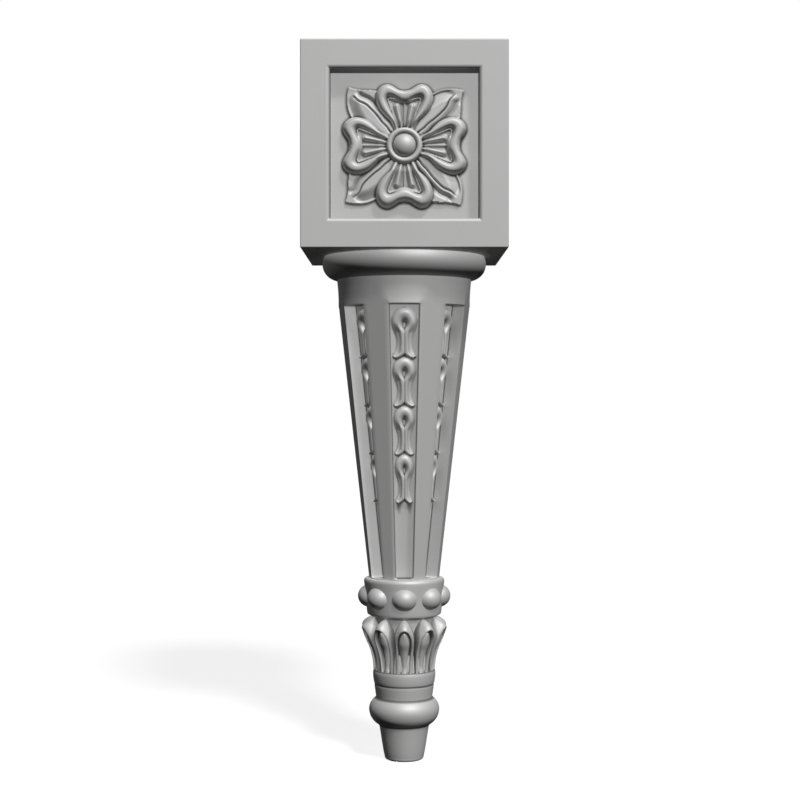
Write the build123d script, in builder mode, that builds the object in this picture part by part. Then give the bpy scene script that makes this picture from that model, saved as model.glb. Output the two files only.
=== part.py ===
from build123d import *
import cmath
import math
import os

os.makedirs("parts", exist_ok=True)

# A furniture leg, turned and carved from one piece of wood, in millimetres.
# It stands on its foot. The origin is the centre of the foot's underside, +Z runs
# up the leg, and the front is -Y, square to one face of the block.
# Round mouldings, beads and outlines are cut in short flats, a few to each curve.

# Square block at the top, with a sunk square panel and a rosette on each face
block_width = 70.0
block_height = 70.0
block_face_count = 4
recess_width = 50.2
recess_depth = 8.3
recess_bevel = 0.8

# Rosette of four petals and four corner leaves, measured from its centre and up from
# the floor of the recess. A share is of the half width or reach of the piece itself.
motif_count = 4
petal_reach = 20.1
petal_width = 19.4
petal_foot_width = 6.7
petal_dip = 2.0
petal_side_share = 0.72
petal_side_level = 0.53
petal_shoulder_share = 0.42
petal_lobe_share = 0.6
petal_height = 5.2
petal_bevel = 1.3
petal_wall = 3.6
petal_hollow_floor = 2.2
petal_hollow_share = 0.7
petal_rib_width = 1.8
petal_rib_height = 1.4
petal_side_flat_count = 2
petal_lobe_flat_count = 3
corner_leaf_reach = 27.4
corner_leaf_shoulder = 20.6
corner_leaf_spread = 17.0
corner_leaf_height = 1.6
corner_vein_width = 1.5
corner_vein_depth = 0.9
button_radius = 6.0
button_height = 4.9
button_rim_width = 1.9
button_flat_count = 10
button_groove_depth = 1.2
button_bevel = 0.63
dome_height = 6.7
dome_edge_height = 4.4
dome_edge_share = 0.85
dome_crown_share = 0.4

# Cushion moulding and neck under the block
cushion_height = 8.4
cushion_radius = 29.2
cushion_top_radius = 28.4
cushion_widest_level = 0.66
cushion_flat_count = 4
neck_height = 9.3

# Tapered shaft with a flat on each rib and a sunk panel between the ribs
shaft_height = 96.7
shaft_top_radius = 23.5
shaft_bottom_radius = 12.7
rib_flat_top = 0.6
rib_flat_bottom = 0.3
panel_count = 7
panel_top_width = 10.8
panel_bottom_width = 6.4
panel_depth = 5.3
panel_sill = 0.3

# Chain of looped links down each panel. Angles are from the loop's own middle.
link_count = 4
link_height = 17.3
link_pitch = 17.0
link_top_gap = 1.5
link_side_gap = 0.95
link_relief = 2.2
link_crown_angle = 31.0
link_shoulder_angle = 28.0
link_waist_share = 0.56
link_waist_level = 0.7
link_toe_share = 0.92
link_toe_split_share = 0.34
link_eye_drop = 4.8
link_eye_width = 1.7
link_eye_height = 3.1
link_crease = 0.24
link_split = 2.1
link_split_rise = 0.3
link_flare_flat_count = 2
link_head_flat_count = 3

# Collar with a ring of beads
collar_height = 14.0
collar_lip_radius = 14.35
collar_lip_height = 1.9
collar_lip_bevel = 0.95
collar_base_radius = 13.2
collar_bevel_height = 1.3
bead_count = 8
bead_radius = 4.35
bead_stand = 12.2
bead_drop = 6.6
bead_crown_angle = 72.0
bead_ring_count = 3
bead_side_count = 8

# Cup of outward curling leaves, each with a raised rim round a tongue
cup_height = 18.8
cup_core_radius = 10.6
leaf_count = 10
leaf_width = 7.0
leaf_root_width = 5.8
leaf_shoulder_drop = 7.6
leaf_ogive_share = 0.72
leaf_ogive_level = 0.55
leaf_tip_radius = 15.5
leaf_lip_drop = 3.7
leaf_hood_radius = 14.3
leaf_hood_drop = 0.9
leaf_waist_radius = 11.6
leaf_waist_drop = 10.1
leaf_root_radius = 10.9
leaf_seat = 1.2
leaf_curl_flat_count = 3
leaf_hood_flat_count = 2
leaf_ogive_flat_count = 2
leaf_rim = 0.9
leaf_groove = 0.8
leaf_groove_depth = 0.8
leaf_groove_drop = 4.2

# Band, throat, ring and foot
band_height = 5.2
band_radius = 11.17
band_widest_level = 0.68
throat_height = 5.1
throat_top_radius = 10.65
throat_bottom_radius = 10.1
ring_height = 9.5
ring_radius = 12.56
ring_widest_level = 0.58
ring_bottom_radius = 9.0
foot_height = 12.2
foot_radius = 6.95
foot_edge = 0.6
ring_flat_count = 3

# Levels, stacked from the floor up
ring_base = foot_height
throat_base = ring_base + ring_height
band_base = throat_base + throat_height
cup_base = band_base + band_height
collar_base = cup_base + cup_height
shaft_base = collar_base + collar_height
neck_base = shaft_base + shaft_height
cushion_base = neck_base + neck_height
block_base = cushion_base + cushion_height
block_half = block_width / 2

# Planes that the carving stands on, all on the front of the leg
flat_low = shaft_bottom_radius - rib_flat_bottom
flat_high = shaft_top_radius - rib_flat_top
flat_run = math.hypot(shaft_height, flat_high - flat_low)
panel_face = Plane(
    origin=(0, -flat_low, shaft_base),
    x_dir=(1, 0, 0),
    z_dir=(0, -shaft_height, flat_low - flat_high),
)
panel_floor = panel_face.offset(-panel_depth)
block_face = Plane(
    origin=(0, -block_half, block_base + block_height / 2), x_dir=(1, 0, 0), z_dir=(0, -1, 0)
)
recess_floor = block_face.offset(-recess_depth)
bead_seat = Plane(origin=(0, -bead_stand, shaft_base - bead_drop), x_dir=(1, 0, 0), z_dir=(0, -1, 0))


def in_flats(start, middle, end, count):
    """Points along the arc through three points, which cut it in short flats."""
    p, q, r = complex(*start), complex(*middle), complex(*end)
    turn = (r - p) / (q - p)
    centre = (q - p) * (turn - abs(turn) ** 2) / (turn - turn.conjugate()) + p
    full = 2 * math.pi
    sweep = cmath.phase((r - centre) / (p - centre)) % full
    if cmath.phase((q - centre) / (p - centre)) % full > sweep:
        sweep -= full
    spokes = [(p - centre) * cmath.rect(1, sweep * step / count) for step in range(count + 1)]
    return [((centre + spoke).real, (centre + spoke).imag) for spoke in spokes]


def raised(half_outline, height, bevel=0.0):
    """A carved relief, alike on both sides of its middle, with its top edges bevelled."""
    with BuildPart() as relief:
        with BuildSketch():
            with BuildLine():
                Polyline(*half_outline, close=True)
            make_face()
            mirror(about=Plane.YZ)
        extrude(amount=height)
        if bevel:
            chamfer(relief.faces().sort_by(Axis.Z)[-1].edges(), bevel)
    return relief.part


def make_petal():
    """One heart-shaped petal, pointing up: a thick rolled rim round a ribbed hollow."""
    half = petal_width / 2
    foot = petal_foot_width / 2
    start = button_radius - button_rim_width / 2
    shoulder = petal_reach - half * petal_shoulder_share
    waist = (half * petal_side_share, petal_reach * petal_side_level)
    side = in_flats((foot, start), waist, (half, shoulder), petal_side_flat_count)
    lobe = in_flats(
        (half, shoulder),
        (half * petal_lobe_share, petal_reach),
        (0, petal_reach - petal_dip),
        petal_lobe_flat_count,
    )
    hollow = half - petal_wall
    hollow_base = start + petal_wall / 2
    hollow_top = petal_reach - petal_wall
    hollow_outline = [
        (0, hollow_base),
        (foot * petal_hollow_share, hollow_base),
        (hollow, hollow_top - petal_dip),
        (hollow * petal_hollow_share, hollow_top),
        (0, hollow_top - petal_dip),
    ]
    rib_crest = petal_hollow_floor + petal_rib_height
    with BuildPart() as petal:
        add(raised([(0, start), *side, *lobe[1:]], petal_height, petal_bevel))
        with Locations((0, 0, petal_hollow_floor)):
            add(raised(hollow_outline, petal_height), mode=Mode.SUBTRACT)
        with BuildSketch(Plane.XZ.offset(-hollow_base)):
            Polygon(
                (-petal_rib_width / 2, petal_hollow_floor),
                (petal_rib_width / 2, petal_hollow_floor),
                (0, rib_crest),
                align=None,
            )
        extrude(amount=hollow_base - hollow_top)
    return petal.part


def make_corner_leaf():
    """One low pointed leaf, pointing up, with a vein cut along its middle."""
    spread = math.radians(corner_leaf_spread)
    shoulder = (corner_leaf_shoulder * math.sin(spread), corner_leaf_shoulder * math.cos(spread))
    with BuildPart() as leaf:
        add(raised([(0, 0), shoulder, (0, corner_leaf_reach)], corner_leaf_height))
        with BuildSketch(Plane.XZ):
            Polygon(
                (-corner_vein_width / 2, corner_leaf_height),
                (0, corner_leaf_height - corner_vein_depth),
                (corner_vein_width / 2, corner_leaf_height),
                align=None,
            )
        extrude(amount=-corner_leaf_reach, mode=Mode.SUBTRACT)
    return leaf.part


def make_knob(radius, sides, rings):
    """A round knob cut in rings of flats. Each ring is its upper edge's height and radius."""
    with BuildPart() as knob:
        with BuildSketch():
            RegularPolygon(radius, sides)
        level, foot = 0.0, radius
        top = knob.pending_faces[0]
        for height, crown in rings:
            inset = (foot - crown) * math.cos(math.pi / sides)
            lean = math.degrees(math.atan2(inset, height - level))
            extrude(top, amount=height - level, taper=lean)
            level, foot = height, crown
            top = knob.faces().sort_by(Axis.Z)[-1]
    return knob.part


def make_button():
    """The rosette's centre: a bevelled rim, a groove and a dome."""
    dome_radius = button_radius - button_rim_width
    dome_base = button_height - button_groove_depth
    dome = make_knob(
        dome_radius,
        button_flat_count,
        [
            (dome_edge_height - dome_base, dome_radius * dome_edge_share),
            (dome_height - dome_base, dome_radius * dome_crown_share),
        ],
    )
    with BuildPart() as button:
        with BuildSketch():
            RegularPolygon(button_radius, button_flat_count)
        extrude(amount=button_height)
        chamfer(button.edges().group_by(Axis.Z)[-1], button_bevel)
        with BuildSketch(Plane.XY.offset(button_height)):
            RegularPolygon(dome_radius, button_flat_count)
        extrude(amount=-button_groove_depth, mode=Mode.SUBTRACT)
        with Locations((0, 0, dome_base)):
            add(dome)
    return button.part


def make_chain_link(width):
    """One link: a strand bent over into a loop, its two ends run together and flared."""
    loop = width / 2
    eye = link_eye_width / 2
    crease = link_crease / 2
    crown_angle = math.radians(link_crown_angle)
    shoulder_angle = math.radians(link_shoulder_angle)
    crown = (loop * math.cos(crown_angle), -loop + loop * math.sin(crown_angle))
    shoulder = (loop * math.cos(shoulder_angle), -loop - loop * math.sin(shoulder_angle))
    waist = (loop * link_waist_share, -link_height * link_waist_level)
    toe = (loop * link_toe_share, -link_height)
    return raised(
        [
            (0, 0),
            (0, -link_eye_drop),
            (eye, -link_eye_drop - eye),
            (crease, -link_eye_drop - link_eye_height),
            (crease, link_split - link_height),
            (loop * link_toe_split_share, link_split_rise - link_height),
            *in_flats(toe, waist, shoulder, link_flare_flat_count),
            *in_flats(shoulder, crown, (0, 0), link_head_flat_count)[1:-1],
        ],
        link_relief,
    )


def make_panel_pocket():
    """The sunk panel between two ribs: narrower towards the foot, with a flat floor."""
    proud = panel_depth / 2
    with BuildPart() as pocket:
        with BuildSketch(panel_face.offset(proud)):
            Polygon(
                (-panel_bottom_width / 2, panel_sill),
                (panel_bottom_width / 2, panel_sill),
                (panel_top_width / 2, flat_run),
                (-panel_top_width / 2, flat_run),
                align=None,
            )
        extrude(amount=-(panel_depth + proud))
    return pocket.part


def make_rib_flat():
    """The wood planed off the outside of one rib. It dies out in an arc on the neck."""
    with BuildPart() as flat:
        with BuildSketch(panel_face):
            with Locations((0, -panel_sill)):
                Rectangle(
                    shaft_top_radius * 2,
                    flat_run + neck_height,
                    align=(Align.CENTER, Align.MIN),
                )
        extrude(amount=shaft_top_radius)
    return flat.part


def make_bead():
    """One bead of the collar, seen from its front."""
    lift = math.radians(bead_crown_angle) / bead_ring_count
    rises = [lift * (ring + 1) for ring in range(bead_ring_count)]
    rings = [(bead_radius * math.sin(rise), bead_radius * math.cos(rise)) for rise in rises]
    return make_knob(bead_radius, bead_side_count, rings)


def swept_back(outline, reach):
    """An upright outline on both sides of the middle, run out to the front by reach."""
    with BuildPart() as slab:
        with BuildSketch(Plane.XZ):
            with BuildLine():
                Polyline(*outline, close=True)
            make_face()
            mirror(about=Plane.YZ)
        extrude(amount=reach)
    return slab.part


def make_leaf_curl(inset):
    """The leaf seen from its side, as wide as it needs: up the back, over and down."""
    lip = (inset - leaf_tip_radius, collar_base - leaf_lip_drop)
    root = (inset - leaf_root_radius, cup_base)
    waist = (inset - leaf_waist_radius, collar_base - leaf_waist_drop)
    hood = (inset - leaf_hood_radius, collar_base - leaf_hood_drop)
    back = leaf_seat - cup_core_radius
    with BuildPart() as curl:
        with BuildSketch(Plane.YZ):
            with BuildLine():
                Polyline(
                    (back, collar_base),
                    (back, cup_base),
                    *in_flats(root, waist, lip, leaf_curl_flat_count),
                    *in_flats(lip, hood, (back, collar_base), leaf_hood_flat_count)[1:-1],
                    close=True,
                )
            make_face()
        extrude(amount=leaf_width, both=True)
    return curl.part


def make_cup_leaf():
    """One leaf of the cup, curling outward, with a groove round a raised tongue."""
    half = leaf_width / 2
    root = leaf_root_width / 2
    shoulder = collar_base - leaf_shoulder_drop
    bend = (half * leaf_ogive_share, shoulder + leaf_shoulder_drop * leaf_ogive_level)
    ogive = in_flats((half, shoulder), bend, (0, collar_base), leaf_ogive_flat_count)
    tongue_edge = leaf_rim + leaf_groove
    groove_top = collar_base - leaf_groove_drop
    with BuildPart() as groove:
        add(
            swept_back(
                [
                    (root - tongue_edge, cup_base),
                    (root - leaf_rim, cup_base),
                    (half - leaf_rim, shoulder),
                    (0, groove_top),
                    (0, groove_top - leaf_groove),
                    (half - tongue_edge, shoulder - leaf_groove),
                ],
                leaf_tip_radius,
            )
        )
        add(make_leaf_curl(leaf_groove_depth), mode=Mode.SUBTRACT)
    with BuildPart() as leaf:
        add(make_leaf_curl(0))
        add(swept_back([(0, cup_base), (root, cup_base), *ogive], leaf_tip_radius), mode=Mode.INTERSECT)
        add(groove.part, mode=Mode.SUBTRACT)
    return leaf.part


def make_carved_block():
    """The square block with a sunk panel on each face, the opening's edges bevelled."""
    with BuildPart() as recess:
        with BuildSketch(block_face):
            Rectangle(recess_width, recess_width)
        extrude(amount=-recess_depth)
    with BuildPart() as block:
        with Locations((0, 0, block_base)):
            Box(block_width, block_width, block_height, align=(Align.CENTER, Align.CENTER, Align.MIN))
        with PolarLocations(0, block_face_count):
            add(recess.part, mode=Mode.SUBTRACT)
        mouths = [
            edge
            for edge in block.edges()
            if edge.length < block_width
            and max(abs(edge.center().X), abs(edge.center().Y)) > block_half - recess_bevel
        ]
        chamfer(mouths, recess_bevel)
    return block.part


petal = make_petal()
corner_leaf = make_corner_leaf()
button = make_button()
rib_flat = make_rib_flat()
panel_pocket = make_panel_pocket()
bead = make_bead()
cup_leaf = make_cup_leaf()
carved_block = make_carved_block()
chain = []
for step in range(link_count):
    drop = link_top_gap + step * link_pitch
    height_share = 1 - (drop + link_top_gap) / flat_run
    room = panel_bottom_width + (panel_top_width - panel_bottom_width) * height_share
    chain.append((drop, make_chain_link(room - 2 * link_side_gap)))

with BuildPart() as rosette:
    with PolarLocations(0, motif_count, start_angle=180 / motif_count):
        add(corner_leaf)
    with PolarLocations(0, motif_count):
        add(petal)
    add(button)

with BuildPart() as carved_leg:
    # The shaft and neck are turned to a taper, then planed and sunk between the ribs
    with BuildSketch(Plane.XZ):
        with BuildLine():
            Polyline(
                (0, shaft_base),
                (shaft_bottom_radius, shaft_base),
                (shaft_top_radius, neck_base),
                (shaft_top_radius, cushion_base),
                (0, cushion_base),
                close=True,
            )
        make_face()
    revolve(axis=Axis.Z)
    with PolarLocations(0, panel_count, start_angle=180 / panel_count):
        add(rib_flat, mode=Mode.SUBTRACT)
    with PolarLocations(0, panel_count):
        add(panel_pocket, mode=Mode.SUBTRACT)

    # The chain of links stands on the floor of each panel
    for drop, link in chain:
        with PolarLocations(0, panel_count):
            with Locations(Plane(panel_floor.location * Location((0, flat_run - drop, 0)))):
                add(link)

    # The lower turning: foot, ring, throat, band, core of the cup, and collar
    with BuildSketch(Plane.XZ):
        with BuildLine():
            Polyline(
                (0, 0),
                (foot_radius - foot_edge, 0),
                (foot_radius, foot_edge),
                *in_flats(
                    (ring_bottom_radius, ring_base),
                    (ring_radius, ring_base + ring_height * ring_widest_level),
                    (throat_bottom_radius, throat_base),
                    ring_flat_count,
                ),
                (throat_top_radius, band_base),
                (band_radius, band_base + band_height * band_widest_level),
                (leaf_root_radius, cup_base),
                (cup_core_radius, cup_base),
                (cup_core_radius, collar_base),
                (collar_base_radius, collar_base + collar_bevel_height),
                (collar_lip_radius, shaft_base - collar_lip_height),
                (collar_lip_radius - collar_lip_bevel, shaft_base),
                (0, shaft_base),
                close=True,
            )
        make_face()
    revolve(axis=Axis.Z)

    # The cushion between the neck and the block
    with BuildSketch(Plane.XZ):
        with BuildLine():
            Polyline(
                (0, cushion_base),
                *in_flats(
                    (shaft_top_radius, cushion_base),
                    (cushion_radius, cushion_base + cushion_height * cushion_widest_level),
                    (cushion_top_radius, block_base),
                    cushion_flat_count,
                ),
                (0, block_base),
                close=True,
            )
        make_face()
    revolve(axis=Axis.Z)

    # Beads round the collar and leaves round the cup, the first of each at the front
    with PolarLocations(0, bead_count):
        with Locations(bead_seat):
            add(bead)
    with PolarLocations(0, leaf_count):
        add(cup_leaf)

    # The block, with a rosette on the floor of each recess
    add(carved_block)
    with PolarLocations(0, block_face_count):
        with Locations(recess_floor):
            add(rosette.part)

carved_leg.part.label = "carved_leg"
export_step(carved_leg.part, "parts/carved_leg.step")
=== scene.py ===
import math

import bmesh
import bpy
import numpy as np
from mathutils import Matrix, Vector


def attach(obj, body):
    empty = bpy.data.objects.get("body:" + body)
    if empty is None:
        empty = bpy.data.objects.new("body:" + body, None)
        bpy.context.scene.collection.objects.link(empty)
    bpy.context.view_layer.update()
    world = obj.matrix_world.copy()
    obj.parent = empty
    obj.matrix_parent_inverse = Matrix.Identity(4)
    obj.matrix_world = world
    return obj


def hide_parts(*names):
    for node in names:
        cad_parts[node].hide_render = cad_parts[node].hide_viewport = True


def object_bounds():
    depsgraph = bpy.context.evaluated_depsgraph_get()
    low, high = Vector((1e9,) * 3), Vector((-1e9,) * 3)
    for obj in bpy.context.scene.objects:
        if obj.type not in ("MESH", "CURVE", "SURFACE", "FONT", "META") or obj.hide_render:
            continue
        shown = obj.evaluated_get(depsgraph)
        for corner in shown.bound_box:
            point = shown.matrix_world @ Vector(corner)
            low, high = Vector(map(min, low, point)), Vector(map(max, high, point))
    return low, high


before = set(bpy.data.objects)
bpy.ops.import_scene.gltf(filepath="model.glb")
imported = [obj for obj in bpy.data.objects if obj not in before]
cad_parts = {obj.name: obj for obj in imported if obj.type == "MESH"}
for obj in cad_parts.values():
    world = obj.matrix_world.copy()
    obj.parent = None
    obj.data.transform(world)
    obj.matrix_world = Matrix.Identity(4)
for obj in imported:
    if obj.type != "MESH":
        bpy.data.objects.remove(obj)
cad_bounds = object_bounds()


# Paint. Two coats of grey satin cover the whole leg, and the brush leaves faint streaks up
# it. Shade is painted dark into the hollows and creases, and crests are rubbed paler.
paint_colour = (0.435, 0.435, 0.432, 1)
# The next colour is painted shade, laid dark into hollows, creases and corners.
painted_shade_colour = (0.085, 0.084, 0.082, 1)
rubbed_colour = (0.50, 0.50, 0.497, 1)
paint_roughness = 0.6
paint_gloss = 1.0
paint_metal = 0.2
painted_shade_range = (0.05, 0.85)
rub_range = (-0.15, -1.0)
rub_strength = 0.6
patches_per_metre = 55.0
patch_detail = 4.0
patch_tones = (0.975, 1.025)
streaks_per_metre = (900, 900, 60)
streak_detail = 3.0
streak_depth = 0.00002
streak_strength = 0.35


def node(tree, kind, inputs=(), **settings):
    """A new shader or geometry node with these settings and input values."""
    made = tree.nodes.new(kind)
    for name, value in settings.items():
        setattr(made, name, value)
    for name, value in dict(inputs).items():
        made.inputs[name].default_value = value
    return made


def make_paint():
    """Satin grey paint with brush streaks, painted shade in the hollows and rubbed crests."""
    paint = bpy.data.materials.new("grey_satin_paint")
    paint.use_nodes = True
    tree = paint.node_tree
    shader = tree.nodes["Principled BSDF"]
    shader.inputs["Roughness"].default_value = paint_roughness
    shader.inputs["Specular IOR Level"].default_value = paint_gloss
    shader.inputs["Metallic"].default_value = paint_metal
    place = node(tree, "ShaderNodeTexCoord")
    hollow = node(tree, "ShaderNodeAttribute", attribute_name="hollow")
    # Where the hollow attribute is high the colour is darkened: this is painted shade.
    shade_from, shade_full = painted_shade_range
    painted_shade_amount = node(tree, "ShaderNodeMapRange", {"From Min": shade_from, "From Max": shade_full})
    painted_shade = node(
        tree, "ShaderNodeMix", {"A": paint_colour, "B": painted_shade_colour}, data_type="RGBA"
    )
    rub_from, rub_full = rub_range
    rubbing = node(
        tree, "ShaderNodeMapRange",
        {"From Min": rub_from, "From Max": rub_full, "To Max": rub_strength},
    )
    rubbed = node(tree, "ShaderNodeMix", {"B": rubbed_colour}, data_type="RGBA")
    patches = node(
        tree, "ShaderNodeTexNoise", {"Scale": patches_per_metre, "Detail": patch_detail}
    )
    patch_dark, patch_pale = patch_tones
    clouding = node(tree, "ShaderNodeMapRange", {"To Min": patch_dark, "To Max": patch_pale})
    tone = node(tree, "ShaderNodeVectorMath", operation="SCALE")
    stretch = node(tree, "ShaderNodeMapping", {"Scale": streaks_per_metre})
    streaks = node(tree, "ShaderNodeTexNoise", {"Scale": 1.0, "Detail": streak_detail})
    bump = node(
        tree, "ShaderNodeBump", {"Strength": streak_strength, "Distance": streak_depth}
    )
    for start, end in (
        (hollow.outputs["Fac"], painted_shade_amount.inputs["Value"]),
        (painted_shade_amount.outputs["Result"], painted_shade.inputs["Factor"]),
        (hollow.outputs["Fac"], rubbing.inputs["Value"]),
        (rubbing.outputs["Result"], rubbed.inputs["Factor"]),
        (painted_shade.outputs["Result"], rubbed.inputs["A"]),
        (place.outputs["Object"], patches.inputs["Vector"]),
        (patches.outputs["Fac"], clouding.inputs["Value"]),
        (rubbed.outputs["Result"], tone.inputs["Vector"]),
        (clouding.outputs["Result"], tone.inputs["Scale"]),
        (tone.outputs["Vector"], shader.inputs["Base Color"]),
        (place.outputs["Object"], stretch.inputs["Vector"]),
        (stretch.outputs["Vector"], streaks.inputs["Vector"]),
        (streaks.outputs["Fac"], bump.inputs["Height"]),
        (bump.outputs["Normal"], shader.inputs["Normal"]),
    ):
        tree.links.new(start, end)
    return paint


paint = make_paint()


# Rosettes. One is carved on the sunk floor of each face of the block: four heart-shaped
# petals with thick rolled rims, four low leaves in the corners, and a domed button.
# The leg is worked in millimetres and shrunk to metres as each mesh is made.
MM = 0.001
weld_gap = 0.002
speck_size = 0.001
leg_top = cad_bounds[1][2] / MM
block_half = cad_bounds[1][0] / MM
block_base = 179.2
recess_width = 50.2
recess_depth = 8.3
rosette_reach = 22.5
rosette_pitch = 0.208
rosette_fineness = 2
# Painted shade: points lying below their surroundings on the rosette are darkened.
rosette_shade_cells = 5
rosette_shade_depth = 1.0
rosette_backing = 0.6
rosette_tuck = 0.25
petal_crest = 5.2
petal_crest_share = 0.48
petal_squareness = 2.6
petal_foot_sink = 0.4
petal_foot_levels = (8.8, 4.8)
petal_fall_power = 1.8
petal_edge_levels = (4.2, 2.3)
petal_edge_change = (1.0, 4.4)
# Places on the rosette are (across, up) from its middle. A petal's lines are the right half
# of the upright petal, and the low leaf is the one in the upper left corner.
petal_side = [(3.4, 5.0), (4.7, 8.2), (6.3, 9.7), (8.2, 11.7), (9.4, 14.1), (9.8, 16.6)]
petal_lobe = [(9.25, 18.75), (7.85, 20.4), (5.7, 21.05), (3.8, 20.3), (1.9, 19.1), (0, 18.75)]
hollow_side = [(1.9, 5.6), (3.0, 8.4), (4.0, 10.7), (5.0, 13.2), (5.75, 15.3)]
hollow_head = [(5.3, 16.1), (4.3, 16.1), (2.7, 15.55), (1.2, 14.95), (0, 14.75)]
hollow_floor = 2.5
petal_rib_root = (0.95, 5.6)
petal_rib_nose = (2.55, 13.2)
petal_rib_radii = (0.8, 1.5)
petal_rib_rise = 1.7
petal_rib_slope = 0.9
hollow_lip_width = 0.8
hollow_lip_rise = 1.0
hollow_lip_offset = 0.1
hollow_lip_climb = (12, 14)
hollow_ridge_width = 0.55
hollow_ridge_fade = (15.4, 13.8)
low_leaf_edge = [
    (-9.4, 18.9), (-11.9, 19.1), (-14.0, 19.2), (-15.9, 19.35), (-17.6, 19.7), (-19.0, 20.1),
    (-19.3, 18.9), (-19.5, 17.7), (-19.65, 15.0), (-19.2, 12.3), (-18.2, 9.9), (-17.0, 8.0),
]
low_leaf_hidden_edge = [(-11.0, 5.0), (-3.0, 2.0), (-2.0, 3.0), (-5.0, 11.0)]
low_leaf_midrib = [
    (-17.9, 17.6), (-15.9, 15.5), (-13.2, 14.2), (-11.1, 12.3), (-9.2, 10.2), (-7.6, 8.1),
    (-6.0, 6.5), (-5.0, 5.1), (-3.0, 3.0),
]
low_leaf_tip_level = 1.6
low_leaf_tip_share = 0.1
low_leaf_rim_level = 1.5
low_leaf_rim_slope = (1.2, 0.5)
low_leaf_valley_level = 0.7
low_leaf_lobe_level = 2.5
low_leaf_lobe_slope = (0.7, 4.6)
low_leaf_vein_width = 0.4
low_leaf_fold_width = 2.1
low_leaf_fold_crest = 0.55
low_leaf_fold_rise = 1.5
low_leaf_fold_power = 1.6
low_leaf_upper_level = 2.0
low_leaf_plate_slope = (low_leaf_fold_width - 0.3, 3.5)
button_ring_radius = 5.1
button_ring_width = 0.97
button_ring_crest = 4.9
button_groove = 3.6
button_dome_radius = 3.95
button_dome_rise = 2.9


def curve_through(points, steps):
    """A smooth path through control points, with this many steps between neighbours."""
    control = np.array(points, float)
    control = np.vstack([2 * control[0] - control[1], control, 2 * control[-1] - control[-2]])
    share = np.linspace(0, 1, steps, endpoint=False)[:, None]
    parts = []
    for before, start, end, after in zip(control, control[1:], control[2:], control[3:]):
        parts.append(
            start
            + share * (end - before) / 2
            + share**2 * (2 * before - 5 * start + 4 * end - after) / 2
            + share**3 * (3 * (start - end) + after - before) / 2
        )
    return np.vstack(parts + [control[-2:-1]])


def mirrored(path):
    """A closed outline from its right half, which runs from the middle round to the middle."""
    return np.vstack([path, path[-2:0:-1] * (-1, 1)])


def distance_to(path, x, y):
    """Distance from each place to a path, and the share of the path that it is nearest to."""
    place = np.stack([x.ravel(), y.ravel()], axis=-1)[:, None, :]
    run = np.diff(path, axis=0)
    kept = (run**2).sum(-1) > 0
    start, run = path[:-1][kept], run[kept]
    share = np.clip(((place - start) * run).sum(-1) / (run**2).sum(-1), 0, 1)
    gap = np.linalg.norm(place - start - share[..., None] * run, axis=-1)
    nearest = gap.argmin(1)
    row = np.arange(len(nearest))
    along = (nearest + share[row, nearest]) / len(run)
    return gap[row, nearest].reshape(x.shape), along.reshape(x.shape)


def inside(path, x, y):
    """True for each place inside a closed path."""
    (x0, y0), (x1, y1) = path.T, np.roll(path, -1, axis=0).T
    px, py = x.ravel()[:, None], y.ravel()[:, None]
    spans = (y0 > py) != (y1 > py)
    with np.errstate(divide="ignore", invalid="ignore"):
        crosses = spans & (px < x0 + (py - y0) * (x1 - x0) / (y1 - y0))
    return (crosses.sum(1) % 2 == 1).reshape(x.shape)


def in_box(outline, x, y):
    """True for each place in the smallest upright rectangle round an outline."""
    (left, low), (right, high) = outline.min(axis=0), outline.max(axis=0)
    return (x >= left) & (x <= right) & (y >= low) & (y <= high)


def ease(value, low, high):
    """0 below low, 1 above high, and a smooth change between them."""
    share = np.clip((value - low) / (high - low), 0, 1)
    return share * share * (3 - 2 * share)


def dome(offset, squareness=2.0):
    """A rounded crest: 1 at offset 0 and 0 at offset 1 or more."""
    return np.clip(1 - np.abs(offset) ** squareness, 0, None) ** (1 / squareness)


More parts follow.
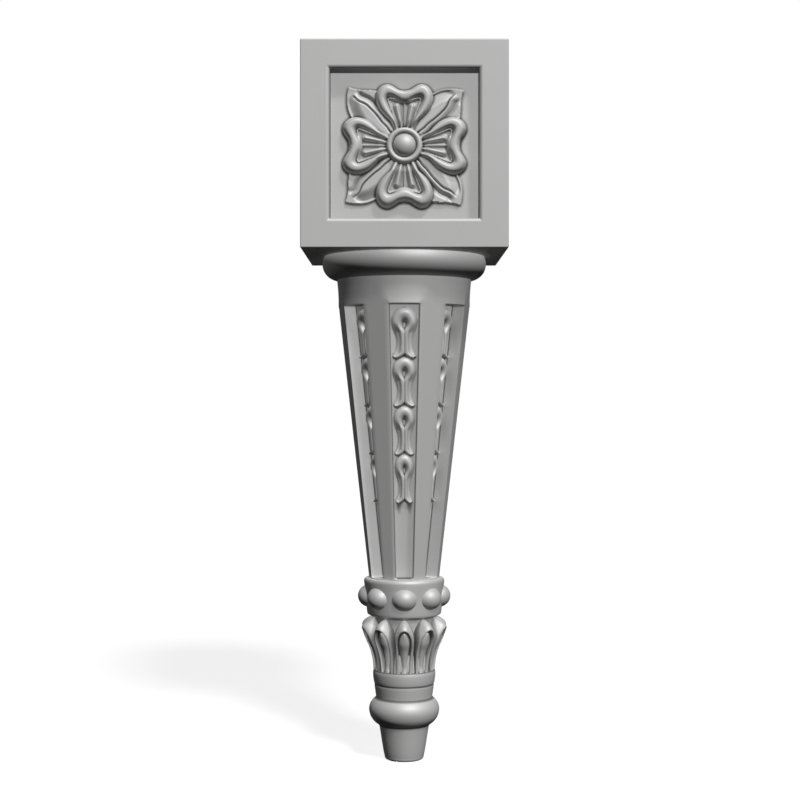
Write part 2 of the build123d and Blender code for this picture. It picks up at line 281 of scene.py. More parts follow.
def petal_relief(across, up):
    """Height of one petal, pointing up, above the sunk floor."""
    outline, hollow = (
        mirrored(np.vstack([[(0, side[0][1])], curve_through(side + head, steps=8)]))
        for side, head in ((petal_side, petal_lobe), (hollow_side, hollow_head))
    )
    near = in_box(outline, across, up)
    side, v = np.abs(across[near]), up[near]
    to_rim, _ = distance_to(np.vstack([outline, outline[:1]]), side, v)
    to_hollow, _ = distance_to(np.vstack([hollow, hollow[:1]]), side, v)
    share = to_rim / np.maximum(to_rim + to_hollow, speck_size)
    outer = petal_crest * dome(1 - np.minimum(share / petal_crest_share, 1), petal_squareness)
    middle_level, lobe_level = petal_edge_levels
    edge_level = middle_level + (lobe_level - middle_level) * ease(side, *petal_edge_change)
    fall = np.clip((share - petal_crest_share) / (1 - petal_crest_share), 0, 1)
    fall = fall**petal_fall_power
    inner = edge_level + (petal_crest - edge_level) * np.cos(fall * math.pi / 2)
    rim = np.where(share < petal_crest_share, outer, inner)

    run = np.clip((v - petal_rib_root[1]) / (petal_rib_nose[1] - petal_rib_root[1]), 0, 1)
    middle = petal_rib_root[0] + run * (petal_rib_nose[0] - petal_rib_root[0])
    beyond = np.clip(v - petal_rib_nose[1], 0, None)
    radius = petal_rib_radii[0] + run * (petal_rib_radii[1] - petal_rib_radii[0])
    from_rib = np.hypot(side - middle, beyond) / radius
    rib = petal_rib_rise * ease(1 - from_rib, 0, petal_rib_slope)
    climb = ease(side, *petal_edge_change[::-1]) * ease(v, *hollow_lip_climb)
    lip_rise = hollow_lip_rise + (middle_level - hollow_floor - hollow_lip_rise) * climb
    from_lip = np.abs(to_hollow - hollow_lip_offset)
    lip = lip_rise * ease(1 - from_lip / hollow_lip_width, 0, 1)
    ridge = hollow_lip_rise * ease(1 - side / hollow_ridge_width, 0, 1)
    ridge = ridge * ease(v, *hollow_ridge_fade)
    floor = hollow_floor + np.maximum.reduce([rib, lip, ridge])
    sink = 1 - petal_foot_sink * ease(v, *petal_foot_levels)
    height = np.zeros(across.shape)
    height[near] = sink * np.where(inside(hollow, side, v), floor, rim)
    height[near] *= inside(outline, side, v)
    return height


def corner_leaf_relief(across, up):
    """Height of the low leaf in the upper left corner above the sunk floor."""
    edge = curve_through(low_leaf_edge, steps=3)
    outline = np.vstack([edge, low_leaf_hidden_edge])
    near = in_box(outline, across, up)
    u, v = across[near], up[near]
    to_edge, _ = distance_to(edge, u, v)
    midrib = curve_through(low_leaf_midrib, steps=6)
    off, along = distance_to(midrib, u, v)
    above = v > np.interp(u, midrib[:, 0], midrib[:, 1])
    lobe = (low_leaf_lobe_level - low_leaf_valley_level) * ease(to_edge, *low_leaf_lobe_slope)
    lobe = low_leaf_valley_level + lobe
    lower = np.maximum(lobe, low_leaf_rim_level * ease(to_edge, *low_leaf_rim_slope))
    before = off / low_leaf_fold_crest
    after = (off - low_leaf_fold_crest) / (low_leaf_fold_width - low_leaf_fold_crest)
    after = np.clip(after, 0, 1) ** low_leaf_fold_power
    fold = low_leaf_fold_rise * np.where(before < 1, dome(1 - before), 1 - after)
    plate = (low_leaf_upper_level - low_leaf_valley_level) * ease(off, *low_leaf_plate_slope)
    upper = low_leaf_valley_level + np.maximum(fold, plate)
    from_vein = ease(off, 0, low_leaf_vein_width)
    lower = low_leaf_valley_level + (lower - low_leaf_valley_level) * from_vein
    carved = np.where(above, upper, lower)
    from_tip = ease(along, 0, low_leaf_tip_share)
    carved = low_leaf_tip_level + (carved - low_leaf_tip_level) * from_tip
    height = np.zeros(across.shape)
    height[near] = carved * inside(outline, u, v)
    return height


def button_relief(u, v):
    """Height of the ring and the dome at the rosette's centre."""
    radius = np.hypot(u, v)
    ring = button_ring_crest - button_ring_width
    ring = ring + button_ring_width * dome((radius - button_ring_radius) / button_ring_width)
    ring = np.where(np.abs(radius - button_ring_radius) < button_ring_width, ring, 0)
    dish = np.where(radius < button_ring_radius - button_ring_width / 2, button_groove, 0)
    boss = button_groove + button_dome_rise * dome(radius / button_dome_radius)
    return np.maximum.reduce([ring, dish, np.where(radius < button_dome_radius, boss, 0)])


def blurred(field, reach):
    """The field's average over a square of cells that reaches this far each way."""
    window = 2 * reach + 1
    for axis in (0, 1):
        pad = [(reach, reach) if axis == way else (0, 0) for way in (0, 1)]
        total = np.cumsum(np.pad(field, pad, mode="edge"), axis=axis)
        total = np.insert(total, 0, 0, axis=axis)
        size = field.shape[axis]
        upper = np.take(total, range(window, window + size), axis=axis)
        field = (upper - np.take(total, range(size), axis=axis)) / window
    return field


def grid_faces(rows, columns):
    """Quads between neighbouring points of a grid that is listed row by row."""
    index = np.arange(rows * columns).reshape(rows, columns)
    corners = (index[:-1, :-1], index[:-1, 1:], index[1:, 1:], index[1:, :-1])
    return np.stack(corners, axis=-1).reshape(-1, 4)


def mesh_from(name, points, faces, hollow=None):
    """A welded mesh in metres. hollow is 1 in a crevice and -1 on a crest."""
    mesh = bpy.data.meshes.new(name)
    mesh.from_pydata((points.reshape(-1, 3) * MM).tolist(), [], faces.tolist())
    values = np.zeros(len(mesh.vertices)) if hollow is None else hollow.ravel()
    mesh.attributes.new("hollow", "FLOAT", "POINT").data.foreach_set("value", values)
    work = bmesh.new()
    work.from_mesh(mesh)
    bmesh.ops.remove_doubles(work, verts=work.verts, dist=weld_gap * MM)
    bmesh.ops.dissolve_degenerate(work, edges=work.edges, dist=speck_size * MM)
    work.to_mesh(mesh)
    work.free()
    return mesh


def closed(mesh):
    """Fills the open edges of a mesh that is flat where it is open."""
    work = bmesh.new()
    work.from_mesh(mesh)
    bmesh.ops.holes_fill(work, edges=[edge for edge in work.edges if edge.is_boundary])
    work.to_mesh(mesh)
    work.free()
    return mesh


def make_rosette():
    """The sunk floor of the front face with its rosette, as a thin closed slab."""
    half = recess_width / 2 + rosette_tuck
    cells = 2 * int(rosette_reach / rosette_pitch)
    line = np.linspace(-rosette_reach, rosette_reach, cells * rosette_fineness + 1)
    u, v = np.meshgrid(line, line)
    quarter = np.maximum(petal_relief(u, v), corner_leaf_relief(u, v))
    turns = [np.rot90(quarter, turn) for turn in range(4)]
    relief = blurred(np.maximum.reduce(turns + [button_relief(u, v)]), rosette_fineness - 1)
    u, v, relief = (field[::rosette_fineness, ::rosette_fineness] for field in (u, v, relief))
    # Painted shade in the rosette's hollows, paler rubbed crests on its high points.
    hollow = (blurred(relief, rosette_shade_cells) - relief) / rosette_shade_depth
    u, v, relief = (np.pad(field, 2, mode="edge") for field in (u, v, relief))
    hollow = np.pad(np.clip(hollow, -1, 1), 2)
    u[:, :2], u[:, -2:] = -half, half
    v[:2, :], v[-2:, :] = -half, half
    for edge in (0, -1):
        relief[edge, :] = -rosette_backing
        relief[:, edge] = -rosette_backing
    points = np.empty(u.shape + (3,))
    points[..., 0] = u
    points[..., 1] = recess_depth - block_half - relief
    points[..., 2] = (block_base + leg_top) / 2 + v
    return closed(mesh_from("rosette", points, grid_faces(*u.shape), hollow))


def smoothed(mesh, sharp_from):
    """Smooth shading, with edges sharper than sharp_from degrees kept crisp."""
    mesh.polygons.foreach_set("use_smooth", [True] * len(mesh.polygons))
    mesh.set_sharp_from_angle(angle=math.radians(sharp_from))
    return mesh


def outward(mesh):
    """Turns every face of a closed mesh to the outside."""
    work = bmesh.new()
    work.from_mesh(mesh)
    bmesh.ops.recalc_face_normals(work, faces=work.faces)
    work.to_mesh(mesh)
    work.free()
    return mesh


def show(name, mesh):
    """Puts a finished mesh on the leg, in the place of the CAD solid."""
    piece = bpy.data.objects.new(name, mesh)
    bpy.context.scene.collection.objects.link(piece)
    if not mesh.materials:
        mesh.materials.append(paint)
    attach(piece, "root")
    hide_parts("carved_leg")
    return piece


# One node group makes every ring of copies on the leg: the rosettes, the block's sides,
# the shaft's panels, the beads and the leaves are each carved once and repeated.
def make_ring_tree():
    """Copies of a mesh round the Z axis, welded where their edges meet."""
    tree = bpy.data.node_groups.new("ring_of_copies", "GeometryNodeTree")
    for name, kind in (
        ("Geometry", "NodeSocketGeometry"),
        ("Count", "NodeSocketInt"),
        ("Start", "NodeSocketFloat"),
        ("Weld", "NodeSocketFloat"),
        ("Material", "NodeSocketMaterial"),
    ):
        tree.interface.new_socket(name, in_out="INPUT", socket_type=kind)
    tree.interface.new_socket("Geometry", in_out="OUTPUT", socket_type="NodeSocketGeometry")
    given = node(tree, "NodeGroupInput")
    result = node(tree, "NodeGroupOutput")
    centres = node(tree, "GeometryNodePoints")
    index = node(tree, "GeometryNodeInputIndex")
    step = node(tree, "ShaderNodeMath", operation="DIVIDE")
    step.inputs[0].default_value = 2 * math.pi
    angle = node(tree, "ShaderNodeMath", operation="MULTIPLY_ADD")
    turn = node(tree, "ShaderNodeCombineXYZ")
    copies = node(tree, "GeometryNodeInstanceOnPoints")
    real = node(tree, "GeometryNodeRealizeInstances")
    weld = node(tree, "GeometryNodeMergeByDistance")
    coat = node(tree, "GeometryNodeSetMaterial")
    for source, target in (
        (given.outputs["Count"], centres.inputs["Count"]),
        (given.outputs["Count"], step.inputs[1]),
        (step.outputs[0], angle.inputs[0]),
        (index.outputs[0], angle.inputs[1]),
        (given.outputs["Start"], angle.inputs[2]),
        (angle.outputs[0], turn.inputs["Z"]),
        (centres.outputs[0], copies.inputs["Points"]),
        (given.outputs["Geometry"], copies.inputs["Instance"]),
        (turn.outputs[0], copies.inputs["Rotation"]),
        (copies.outputs[0], real.inputs[0]),
        (real.outputs[0], weld.inputs["Geometry"]),
        (given.outputs["Weld"], weld.inputs["Distance"]),
        (weld.outputs[0], coat.inputs["Geometry"]),
        (given.outputs["Material"], coat.inputs["Material"]),
        (coat.outputs[0], result.inputs[0]),
    ):
        tree.links.new(source, target)
    return tree


ring_tree = make_ring_tree()


def ring_of(name, mesh, count, sharp_from=50, weld=2 * weld_gap, start=0.0):
    """count copies of a mesh round the leg, as one finished piece."""
    carrier = bpy.data.objects.new(name + "_one", mesh)
    bpy.context.scene.collection.objects.link(carrier)
    ring = carrier.modifiers.new("ring", "NODES")
    ring.node_group = ring_tree
    sockets = {
        item.name: item.identifier
        for item in ring_tree.interface.items_tree
        if item.in_out == "INPUT"
    }
    ring[sockets["Count"]] = count
    ring[sockets["Start"]] = start
    ring[sockets["Weld"]] = weld * MM
    ring[sockets["Material"]] = paint
    shaped = carrier.evaluated_get(bpy.context.evaluated_depsgraph_get())
    copy = bpy.data.meshes.new_from_object(shaped)
    copy.name = name
    bpy.data.objects.remove(carrier)
    return show(name, smoothed(outward(copy), sharp_from))


rosette = make_rosette()
ring_of("rosettes_front_and_back", rosette.copy(), 2, sharp_from=80)
ring_of("rosettes_right_and_left", rosette, 2, sharp_from=80, start=math.pi / 2)


# Block. The square top of the leg is left full width, planed, and sunk on each face.
# The cutter leaves a small round on each opening, and sanding one on the outer edges.
mouth_round = 1.1
corner_round = 0.35
flat_margin = 0.25
# Painted shade darkens the recess walls below the rounded mouth.
wall_painted_shade = 0.9
wall_shade_depths = (mouth_round / 2, mouth_round * 1.2)
round_steps = 5


def make_block_side():
    """A quarter of the block: its front, up to the corners, and a wedge of both ends."""
    bend = np.linspace(0, math.pi / 2, round_steps + 1)
    opening = recess_width / 2
    mouth = np.append(opening + mouth_round * (1 - np.sin(bend)), opening)
    wall_end = recess_depth + rosette_backing / 2
    mouth_sink = np.append(mouth_round * (1 - np.cos(bend)), wall_end)

    def lines(turn):
        """Places across the face, with how far each is rounded off and how far it is sunk."""
        corner = block_half - corner_round * (1 - np.sin(turn))
        flat = [corner[-1] - flat_margin, mouth[0] + flat_margin]
        place = np.concatenate([corner, flat, mouth])
        eased = np.concatenate([corner_round * (1 - np.cos(turn)), [0, 0], 0 * mouth])
        sunk = np.concatenate([0 * turn, [0, 0], mouth_sink])
        place = np.concatenate([place, -place[::-1]])
        return place, np.append(eased, eased[::-1]), np.append(sunk, sunk[::-1])

    # Neighbouring sides share each upright corner, so a side takes half of its round.
    across, across_eased, across_sunk = lines(bend[::-1] / 2)
    up, up_eased, up_sunk = lines(bend[::-1])
    inward = (block_half - up_eased) / block_half
    up, up_sunk = (np.pad(field, 1, mode="edge") for field in (up, up_sunk))
    inward = np.pad(inward, 1)
    depth = np.minimum(across_sunk, up_sunk[:, None]) + across_eased
    # Painted shade on the walls of the sunk face.
    hollow = wall_painted_shade * ease(depth, *wall_shade_depths)
    points = np.empty(depth.shape + (3,))
    points[..., 0] = across * inward[:, None]
    points[..., 1] = (depth - block_half) * inward[:, None]
    points[..., 2] = (block_base + leg_top) / 2 + up[:, None]
    return mesh_from("block_side", points, grid_faces(*depth.shape), hollow)


ring_of("block", make_block_side(), 4, sharp_from=35)


# Cushion. A plain half round moulding turned under the block, where the square ends.
neck_top = 170.8
cushion_radius = 23.6
cushion_height = 176.4
cushion_round = 5.6
cushion_bends = (-math.pi / 2, math.pi / 5)
cushion_steps = 20
# How far painted shade reaches up and down from each crevice of a turning.
crevice_reach = 0.35


def turned(name, profile, steps=160, sharp_from=38, crevices=()):
    """A closed turning from (radius, height) points, with shade painted at its crevices'
    heights.
    """
    angles = np.linspace(0, 2 * math.pi, steps + 1)
    radius, height = np.array(profile, float).T
    points = np.empty((len(radius), steps + 1, 3))
    points[..., 0] = radius[:, None] * np.cos(angles)
    points[..., 1] = radius[:, None] * np.sin(angles)
    points[..., 2] = height[:, None]
    # Painted shade: the colour is darkened in a band round each crevice's height.
    painted_shade = [np.exp(-(((height - crevice) / crevice_reach) ** 2)) for crevice in crevices]
    hollow = np.max(painted_shade, axis=0)[:, None] + 0 * angles if crevices else None
    mesh = mesh_from(name, points, grid_faces(len(radius), steps + 1), hollow)
    return show(name, smoothed(outward(mesh), sharp_from))


cushion_profile = [(0, neck_top)] + [
    (
        cushion_radius + cushion_round * math.cos(bend),
        cushion_height + cushion_round * math.sin(bend),
    )
    for bend in np.linspace(*cushion_bends, cushion_steps)
]
turned("cushion", cushion_profile + [(0, cushion_profile[-1][1])])


# Shaft. A turned taper with seven ribs, each planed flat on its outside, and a sunk panel
# between the ribs. The flats run out in arcs on the neck. A chain of looped links, each
# a strand bent over with its ends run together and flared, is carved down every panel.
panel_count = 7
panel_base = 65.1
panel_top = 161.5
shaft_foot = 63.5
turned_foot_radius = 12.7
turned_top_radius = 23.5
flat_foot = 12.4
flat_top = 22.9
panel_half_foot = 3.2
panel_half_top = 5.4
panel_depth = 5.33
panel_corner = 0.7
corner_steps = np.array([0, 0.1, 0.3, 0.7])
# Painted shade at the panel's corners, and round the links below.
corner_painted_shade = 1.0
corner_shade_width = 0.6
wall_foot = 0.45
rib_edge = 0.35
rib_edge_bend = 0.29
rib_columns = 3
floor_columns = 40
panel_rows = 214
plain_rows = 12
neck_line = [(161.5, 23.5), (163.9, 23.45), (167.5, 23.65), (170.3, 23.93), (171.6, 24.05)]
neck_steps = 5
link_count = 4
link_first = 1.5
link_pitch = 17.0
link_length = 17.3
link_gap = 0.95
link_crest = 2.2
link_half = 4.44
# A link's lines are its right half, as (out from its middle, down from its top).
link_outer = [
    (0, 0), (1.7, 0.33), (3.14, 1.43), (4.1, 2.9), (4.44, 4.6), (4.2, 6.1), (3.75, 7.5),
    (3.15, 8.9), (2.68, 10.4), (2.5, 12.1), (2.72, 13.9), (3.25, 15.4), (4.12, 16.75),
]
link_toe = [(4.12, 16.75), (3.45, 17.4), (2.5, 17.6), (1.25, 17.12), (0.5, 16.6), (0, 16.0)]
link_eye = [
    (0, 16.0), (0, 11.5), (0, 8.0), (0.42, 7.1), (0.74, 6.2), (0.74, 5.4), (0.45, 4.8),
    (0, 4.5),
]
link_skirt_levels = (1.2, 0.6)
link_roll_share = 0.52
link_roll_crest = 0.42
link_crease_level = 1.8
link_roll_squareness = 3.6
link_parting = (5.2, 9.0)
link_painted_shade = 1.4
link_shade_cells = 2
off_axis = 0.01
samples_sideways = (-0.67, 0, 0.67)
samples_down = (-0.1, 0, 0.1)


def link_relief(side, drop):
    """Height of one link above the panel's floor, from its middle and down from its top."""
    outer = curve_through(link_outer, steps=5)
    inner = np.vstack([curve_through(link_toe, steps=5), curve_through(link_eye, steps=5)])
    outline = np.vstack([outer, inner])
    near = in_box(outline, side, drop)
    x, y = np.maximum(side[near], off_axis), drop[near]
    wood = inside(outline, x, y)
    to_outer, _ = distance_to(outer, x, y)
    to_inner, _ = distance_to(inner, x, y)
    across = to_inner / np.maximum(to_inner + to_outer, speck_size)
    loop = link_crest * dome(2 * across - 1)
    inner_edge, outer_edge = link_skirt_levels
    crest_share = link_roll_share * link_roll_crest
    crease = link_crest - (link_crest - link_crease_level) * (1 - across / crest_share) ** 2
    beyond = np.clip((across - crest_share) / (link_roll_share - crest_share), 0, 1)
    roll = inner_edge + (link_crest - inner_edge) * dome(beyond, link_roll_squareness)
    skirt = inner_edge + (outer_edge - inner_edge) * ease(across, link_roll_share, 1.0)
    strand = np.where(across < link_roll_share, roll, skirt)
    strand = np.where(across < crest_share, crease, strand)
    parted = ease(y, *link_parting)
    height = np.zeros(side.shape)
    height[near] = wood * (loop * (1 - parted) + strand * parted)
    return height


def make_shaft_panel():
    """A seventh of the shaft and neck: the front panel with half a rib each side of it."""
    chain_end = panel_top - link_first - (link_count - 1) * link_pitch - link_length
    sunk_rows = np.concatenate([
        panel_base + panel_corner * corner_steps,
        np.linspace(panel_base + panel_corner, chain_end, plain_rows + 1)[:-1],
        np.linspace(chain_end, panel_top - panel_corner, panel_rows)[:-1],
        panel_top - panel_corner * np.append(1, corner_steps[::-1]),
    ])
    neck = curve_through(neck_line, steps=neck_steps)
    below = [shaft_foot, shaft_foot, panel_base]
    level = np.concatenate([below, sunk_rows, neck[:, 0], neck[-1:, 0]])
    sunk = np.zeros(len(level))
    sunk[len(below):len(below) + len(sunk_rows)] = 1
    reach = np.ones(len(level))
    reach[[0, -1]] = 0

    rise = (level - panel_base) / (panel_top - panel_base)
    body = turned_foot_radius + rise * (turned_top_radius - turned_foot_radius)
    body = np.where(level > panel_top, np.interp(level, neck[:, 0], neck[:, 1]), body)
    flat = flat_foot + rise * (flat_top - flat_foot)
    half = panel_half_foot + np.clip(rise, 0, 1) * (panel_half_top - panel_half_foot)
    to_end = np.clip(np.minimum(level - panel_base, panel_top - level), 0, panel_corner)
    opened = half - panel_corner + np.sqrt(panel_corner**2 - (panel_corner - to_end) ** 2)
    half = np.where(sunk > 0, opened, half)[:, None]
    body, flat, sunk, reach = (field[:, None] for field in (body, flat, sunk, reach))

    slice_half = math.pi / panel_count
    rim_x = half + rib_edge
    rim_y = np.minimum((flat - rim_x * math.sin(slice_half)) / math.cos(slice_half),
                       np.sqrt(body**2 - rim_x**2))
    rim_angle = np.arctan2(rim_x, rim_y)
    rib = slice_half + np.linspace(0, 1, rib_columns + 1) * (rim_angle - slice_half)
    rib_radius = np.minimum(body, flat / np.cos(slice_half - rib))
    rib_x, rib_y = rib_radius * np.sin(rib), rib_radius * np.cos(rib)

    def skin(x):
        """How far forward the uncut wood stands at this place across the panel."""
        angle = np.arctan2(x, rim_y)
        radius = np.minimum(body, flat / np.cos(slice_half - angle))
        return radius * np.cos(angle)

    corner_x = np.hstack([half + rib_edge * rib_edge_bend, half])
    corner_y = skin(corner_x) - sunk * rib_edge * np.array([rib_edge_bend, 1.0])
    spread = np.append(1, np.linspace(1, 0, floor_columns // 2 + 1))
    floor_x = half * spread
    floor_y = np.where(sunk > 0, flat - panel_depth, skin(floor_x))
    floor_y[:, :1] += wall_foot * sunk
    slope = math.hypot(panel_top - panel_base, flat_top - flat_foot) / (panel_top - panel_base)
    drop = (panel_top - level)[:, None] * slope + 0 * floor_x
    relief = np.zeros(floor_x.shape)
    for link in range(link_count):
        start = link_first + link * link_pitch
        share = 1 - (start + link_first) / ((panel_top - panel_base) * slope)
        room = panel_half_foot + share * (panel_half_top - panel_half_foot) - link_gap
        samples = []
        for sideways in samples_sideways:
            side = np.abs(floor_x + sideways * half / floor_columns) * link_half / room
            samples += [link_relief(side, drop - start + down) for down in samples_down]
        relief = np.maximum(relief, np.mean(samples, axis=0))
    relief *= sunk
    whole = np.hstack([relief, relief[:, -2::-1]])
    # Painted shade round the links and along the panel floor's edges.
    hollow = np.clip(link_painted_shade * (blurred(whole, link_shade_cells) - whole), -1, 1)
    hollow = hollow[:, :relief.shape[1]]
    to_wall = np.minimum(half - floor_x, to_end[:, None])
    hollow = sunk * np.maximum(hollow, corner_painted_shade * ease(to_wall, corner_shade_width, 0))
    # The painted shade lies on the floor's edge and leaves the wall above it plain.
    hollow[:, 0] = 0
    floor_y = floor_y + relief

    x = np.hstack([rib_x, corner_x, floor_x]) * reach
    y = np.hstack([rib_y, corner_y, floor_y]) * reach
    hollow = np.hstack([0 * rib_x, 0 * corner_x, hollow])
    x = np.hstack([x, -x[:, -2::-1]])
    y = np.hstack([y, y[:, -2::-1]])
    hollow = np.hstack([hollow, hollow[:, -2::-1]])
    points = np.stack([x, -y, np.broadcast_to(level[:, None], x.shape)], axis=-1)
    return mesh_from("shaft_panel", points, grid_faces(*x.shape), hollow)


ring_of("shaft", make_shaft_panel(), panel_count, sharp_from=55)


# Collar. A slightly hollow band under the shaft with a thin lip, and eight beads carved
# round it. Below it the core of the leaf cup is turned a little narrower.
# Points on a turned profile are (radius, height).
collar_lip = [(13.3, 64.8), (13.95, 64.62), (14.3, 64.1), (14.36, 63.6), (14.26, 62.6)]
collar_wall = [(14.02, 60.0), (13.7, 57.0), (13.41, 54.0), (13.29, 52.6)]
collar_edge = [(13.24, 52.3), (13.09, 51.9), (11.2, 50.86)]
cup_core = [(11.05, 50.75), (10.7, 48.5), (10.5, 46.0), (10.3, 40.0), (10.2, 31.5)]
# Shade is painted round this height, where the collar steps in to the cup core.
collar_crevice = 51.2
collar_profile = collar_lip + collar_wall + collar_edge + cup_core
turned(
    "collar",
    [(0, collar_lip[0][1])] + collar_profile + [(0, cup_core[-1][1])],
    steps=180,
    crevices=(collar_crevice,),
)

bead_count = 8
bead_height = 58.2
bead_stand = 12.2
bead_radial = 4.35
bead_upright = 4.1
bead_across = 4.5
bead_rings = 28
bead_steps = 48


def make_bead():
    """The front bead, an egg shape with its poles up and down and its back in the collar."""
    rise, turn = np.meshgrid(
        np.linspace(-math.pi / 2, math.pi / 2, bead_rings + 1),
        np.linspace(0, 2 * math.pi, bead_steps + 1),
        indexing="ij",
    )
    points = np.stack([
        bead_across * np.cos(rise) * np.cos(turn),
        -bead_stand + bead_radial * np.cos(rise) * np.sin(turn),
        bead_height + bead_upright * np.sin(rise),
    ], axis=-1)
    return mesh_from("bead", points, grid_faces(*rise.shape))


ring_of("beads", make_bead(), bead_count, sharp_from=80)


# Leaf cup. Ten pointed leaves stand side by side round the core. Each has a raised rim
# that runs up into a hood, and the hood curls out and down over a rounded tongue.
leaf_count = 10
leaf_rows = 148
leaf_columns = 60
leaf_apex = 50.9
leaf_root = 31.9
leaf_back_radius = 9.6
# A leaf's lines are (height, half width) and (height, distance from the axis). Those of its
# tongue and of the arch round it are (across, height).
leaf_half_line = [(31.9, 2.72), (36.0, 2.95), (40.0, 3.28), (43.6, 3.5)]
leaf_ogive_line = [
    (43.6, 3.5), (45.6, 3.34), (47.8, 2.72), (49.6, 1.72), (50.5, 0.85), (50.9, 0.0),
]
leaf_crest_line = [
    (31.9, 10.92), (34.0, 11.1), (36.0, 11.38), (38.0, 11.85), (40.0, 12.5), (42.0, 13.45),
    (44.0, 14.3), (46.0, 15.25), (47.3, 15.8),
]
leaf_hood_line = [
    (47.3, 15.8), (47.9, 15.72), (48.8, 15.2), (49.7, 14.1), (50.4, 12.8), (50.9, 11.2),
]
leaf_seam_line = [
    (31.9, 10.75), (33.4, 10.45), (36.0, 10.5), (40.0, 11.2), (44.0, 11.9), (47.3, 11.4),
    (50.9, 10.9),
]
leaf_squareness = 5.0
leaf_squareness_drop = 2.9
leaf_hood_levels = (43.0, 48.0)
leaf_round_reach = 4.0
leaf_round_share = 0.6
leaf_root_levels = (leaf_root - 1, leaf_root + 2.5)
leaf_run_out = 5
tongue_line = [
    (0, 46.6), (0.62, 46.2), (1.25, 45.2), (1.68, 43.7), (1.72, 42.0), (1.42, 39.5),
    (1.1, 36.0), (0.85, 31.9),
]
arch_line = [
    (0, 47.45), (0.95, 47.0), (1.8, 45.85), (2.36, 44.1), (2.46, 42.0), (2.18, 39.5),
    (1.86, 36.0), (1.6, 31.9),
]
tongue_sink = 0.35
tongue_dive = 0.7
tongue_dive_levels = (42.0, 47.4)
tongue_round = 0.95
tongue_shoulder = 1.6
leaf_groove_sink = 1.7
leaf_edge_ease = 0.2
rim_round = 0.45
# Painted shade in the leaf's groove and along its sides, where leaves meet.
groove_painted_shade = 0.9
leaf_side_painted_shade = 0.8
leaf_side_from = 0.93


def make_cup_leaf():
    """The front leaf, carved from the front and closed behind, where it stands on the core."""
    body = np.linspace(leaf_root, leaf_apex, leaf_rows)
    level, share = np.meshgrid(body, np.linspace(-1, 1, leaf_columns + 1), indexing="ij")
    outline = np.vstack([
        curve_through(leaf_half_line, steps=6)[:-1],
        curve_through(leaf_ogive_line, steps=6),
    ])
    half = np.interp(level, outline[:, 0], outline[:, 1])
    across = share * half
    side = np.abs(across)
    crest = np.vstack([
        curve_through(leaf_crest_line, steps=5)[:-1],
        curve_through(leaf_hood_line, steps=6),
    ])
    crest = np.interp(level, crest[:, 0], crest[:, 1])
    seam = np.interp(level, *np.array(leaf_seam_line).T)
    squareness = leaf_squareness - leaf_squareness_drop * ease(level, *leaf_hood_levels)
    bulge = np.clip(1 - np.abs(share) ** squareness, 0, None) ** (1 / squareness)
    round_off = crest - np.sqrt(crest**2 - np.minimum(side, leaf_round_reach) ** 2)
    front = seam + (crest - seam) * bulge - round_off * leaf_round_share

    tongue, arch = (curve_through(line, steps=6) for line in (tongue_line, arch_line))
    tongue = np.vstack([tongue, tongue[-1:] - (0, leaf_run_out)])
    arch = np.vstack([arch, arch[-1:] - (0, leaf_run_out)])
    foot = np.array([(0, leaf_root - leaf_run_out)])
    in_tongue = inside(np.vstack([tongue, foot]), side, level)
    in_arch = inside(np.vstack([arch, foot]), side, level)
    to_tongue, _ = distance_to(tongue, side, level)
    to_arch, _ = distance_to(arch, side, level)
    stem_front = np.interp(level, *curve_through(leaf_crest_line, steps=6).T) - round_off
    rooted = ease(level, *leaf_root_levels)
    groove = stem_front - leaf_groove_sink * rooted
    nose = 1 - dome(1 - np.minimum(to_tongue / tongue_shoulder, 1))
    tongue_front = stem_front - (tongue_sink + tongue_round * nose) * rooted
    tongue_front = tongue_front - tongue_dive * ease(level, *tongue_dive_levels)
    tongue_front = np.maximum(tongue_front, groove)
    rim = front - rim_round * (1 - dome(1 - np.minimum(to_arch / rim_round, 1)))
    cut = ease(np.where(in_arch, to_arch, -to_arch), -leaf_edge_ease, leaf_edge_ease)
    left = ease(np.where(in_tongue, to_tongue, -to_tongue), -leaf_edge_ease, leaf_edge_ease)
    front = rim + cut * (groove + left * (tongue_front - groove) - rim)
    # Painted shade: the groove and the leaf's edges next to its neighbours are darkened.
    leaf_side = ease(np.abs(share), leaf_side_from, 1.0)
    hollow = np.maximum(groove_painted_shade * cut * (1 - left), leaf_side_painted_shade * leaf_side)

    across, level, front, hollow = (
        np.pad(field, 1, mode="edge") for field in (across, level, front, hollow)
    )
    for edge in (0, -1):
        front[edge, :] = leaf_back_radius
        front[:, edge] = leaf_back_radius
    points = np.stack([across, -front, level], axis=-1)
    return closed(mesh_from("cup_leaf", points, grid_faces(*across.shape), hollow))


ring_of("cup_leaves", make_cup_leaf(), leaf_count, sharp_from=50, weld=0)


# Band, throat, ring and foot, turned in one run down to the floor. The ring is a full
# round between two crisp steps, and the foot's edge is eased so that it doesn't split.
band = [
    (10.0, 32.05), (10.9, 32.0), (11.0, 31.75), (11.15, 30.9), (11.12, 29.8), (10.95, 28.3),
    (10.72, 27.25),
]
throat = [(10.52, 26.85), (10.6, 26.2), (10.36, 24.4), (10.12, 22.7), (10.06, 22.1)]
ring = [
    (10.5, 21.72), (10.77, 21.55), (11.25, 21.1), (11.9, 20.2), (12.35, 19.2), (12.56, 17.9),
    (12.38, 16.5), (11.84, 15.05), (10.9, 13.75), (9.93, 12.9),
]
foot = [(9.05, 12.25), (8.89, 11.8), (8.5, 9.6), (8.0, 6.4), (7.42, 2.9), (7.05, 1.2)]
foot_edge = [(6.98, 0.75), (6.75, 0.25), (6.35, 0.0)]
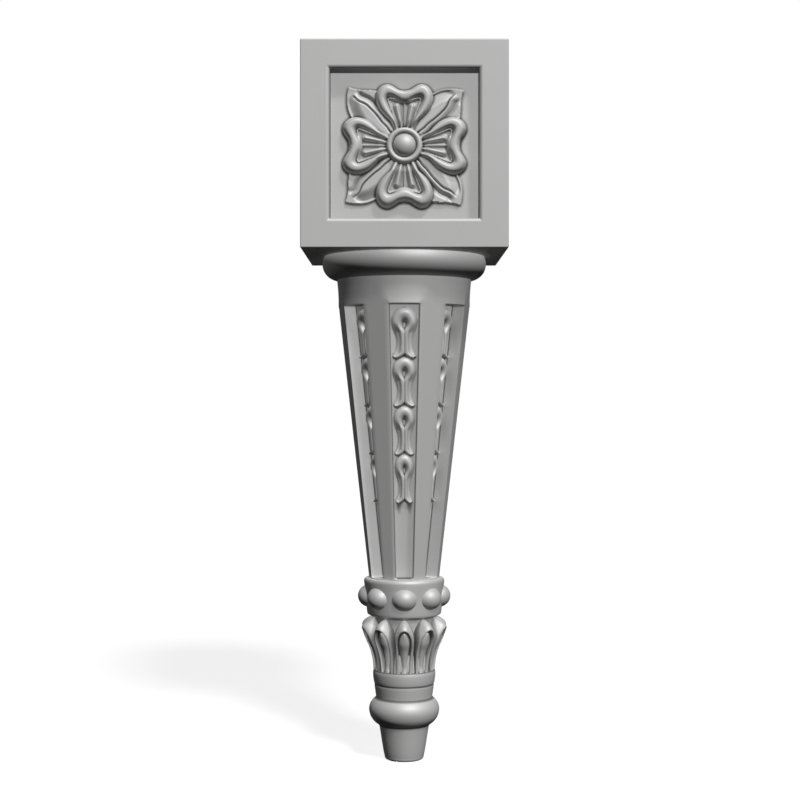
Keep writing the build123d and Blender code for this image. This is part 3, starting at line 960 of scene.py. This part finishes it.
# Shade is painted round these heights, in the steps between the turnings.
lower_crevices = (12.5, 21.95, 26.95, 32.1)
lower_profile = np.vstack([
    [(0, band[0][1])],
    curve_through(band, steps=4),
    curve_through(throat, steps=4),
    curve_through(ring, steps=4),
    curve_through(foot + foot_edge, steps=3),
    [(0, 0)],
])
turned("lower_turning", lower_profile, steps=140, crevices=lower_crevices)


# Setting. A pale floor and white backdrop, a soft key light above and to the right of the
# camera, part of it shadowless, and weaker lamps for the back and the left. The leg is
# lit as if the floor and backdrop were dark, so that undersides stay dark.
floor_size = 60.0
floor_colour = (0.72, 0.72, 0.72, 1)
floor_dimmed = (0.015, 0.015, 0.015, 1)
background = (1.0, 1.0, 1.0, 1)
fill_colour = (0.004, 0.004, 0.004, 1)
lamp_spread = 9.0
# Each lamp's name, strength, degrees to the right and up, and if it casts shadow and gloss.
lamps = (
    ("key", 3.6, 24.7, 45.0, False, True),
    ("key_with_shadow", 1.0, 24.7, 45.0, True, True),
    ("back", 3.0, 180.0, 20.0, False, False),
    ("left", 0.6, -120.0, 20.0, False, False),
)
camera_place = (-0.00149, -0.5474, 0.1281)
camera_lens = 68.85
camera_sensor = 36.0
camera_nearest = 0.01


def camera_only(tree, seen, unseen):
    """A mix that is one shader to the camera and another to all other light."""
    path = node(tree, "ShaderNodeLightPath")
    mix = node(tree, "ShaderNodeMixShader")
    tree.links.new(path.outputs["Is Camera Ray"], mix.inputs["Fac"])
    tree.links.new(unseen.outputs[0], mix.inputs[1])
    tree.links.new(seen.outputs[0], mix.inputs[2])
    return mix


span = floor_size / 2
floor_corners = [(-span, -span, 0), (span, -span, 0), (span, span, 0), (-span, span, 0)]
floor_mesh = bpy.data.meshes.new("floor")
floor_mesh.from_pydata(floor_corners, [], [(0, 1, 2, 3)])
floor = bpy.data.objects.new("floor", floor_mesh)
bpy.context.scene.collection.objects.link(floor)
paper = bpy.data.materials.new("pale_floor")
paper.use_nodes = True
tree = paper.node_tree
tree.nodes.clear()
matt = node(tree, "ShaderNodeBsdfDiffuse", {"Color": floor_colour})
dimmed = node(tree, "ShaderNodeBsdfDiffuse", {"Color": floor_dimmed})
result = node(tree, "ShaderNodeOutputMaterial")
tree.links.new(camera_only(tree, matt, dimmed).outputs[0], result.inputs["Surface"])
floor_mesh.materials.append(paper)

world = bpy.data.worlds.new("studio")
bpy.context.scene.world = world
world.use_nodes = True
tree = world.node_tree
tree.nodes.clear()
white = node(tree, "ShaderNodeBackground", {"Color": background})
fill = node(tree, "ShaderNodeBackground", {"Color": fill_colour})
result = node(tree, "ShaderNodeOutputWorld")
tree.links.new(camera_only(tree, white, fill).outputs[0], result.inputs["Surface"])

for name, strength, right, up, shadowed, glossy in lamps:
    lamp_data = bpy.data.lights.new(name, "SUN")
    lamp_data.energy = strength
    lamp_data.angle = math.radians(lamp_spread)
    lamp_data.use_shadow = shadowed
    lamp = bpy.data.objects.new(name, lamp_data)
    lamp.visible_glossy = glossy
    bpy.context.scene.collection.objects.link(lamp)
    lamp.rotation_euler = (math.pi / 2 - math.radians(up), 0, math.radians(right))

camera_data = bpy.data.cameras.new("camera")
camera_data.lens = camera_lens
camera_data.sensor_width = camera_sensor
camera_data.clip_start = camera_nearest
camera = bpy.data.objects.new("camera", camera_data)
bpy.context.scene.collection.objects.link(camera)
camera.location = camera_place
camera.rotation_euler = (math.pi / 2, 0, 0)
bpy.context.scene.camera = camera
bpy.context.scene.view_settings.view_transform = "Standard"
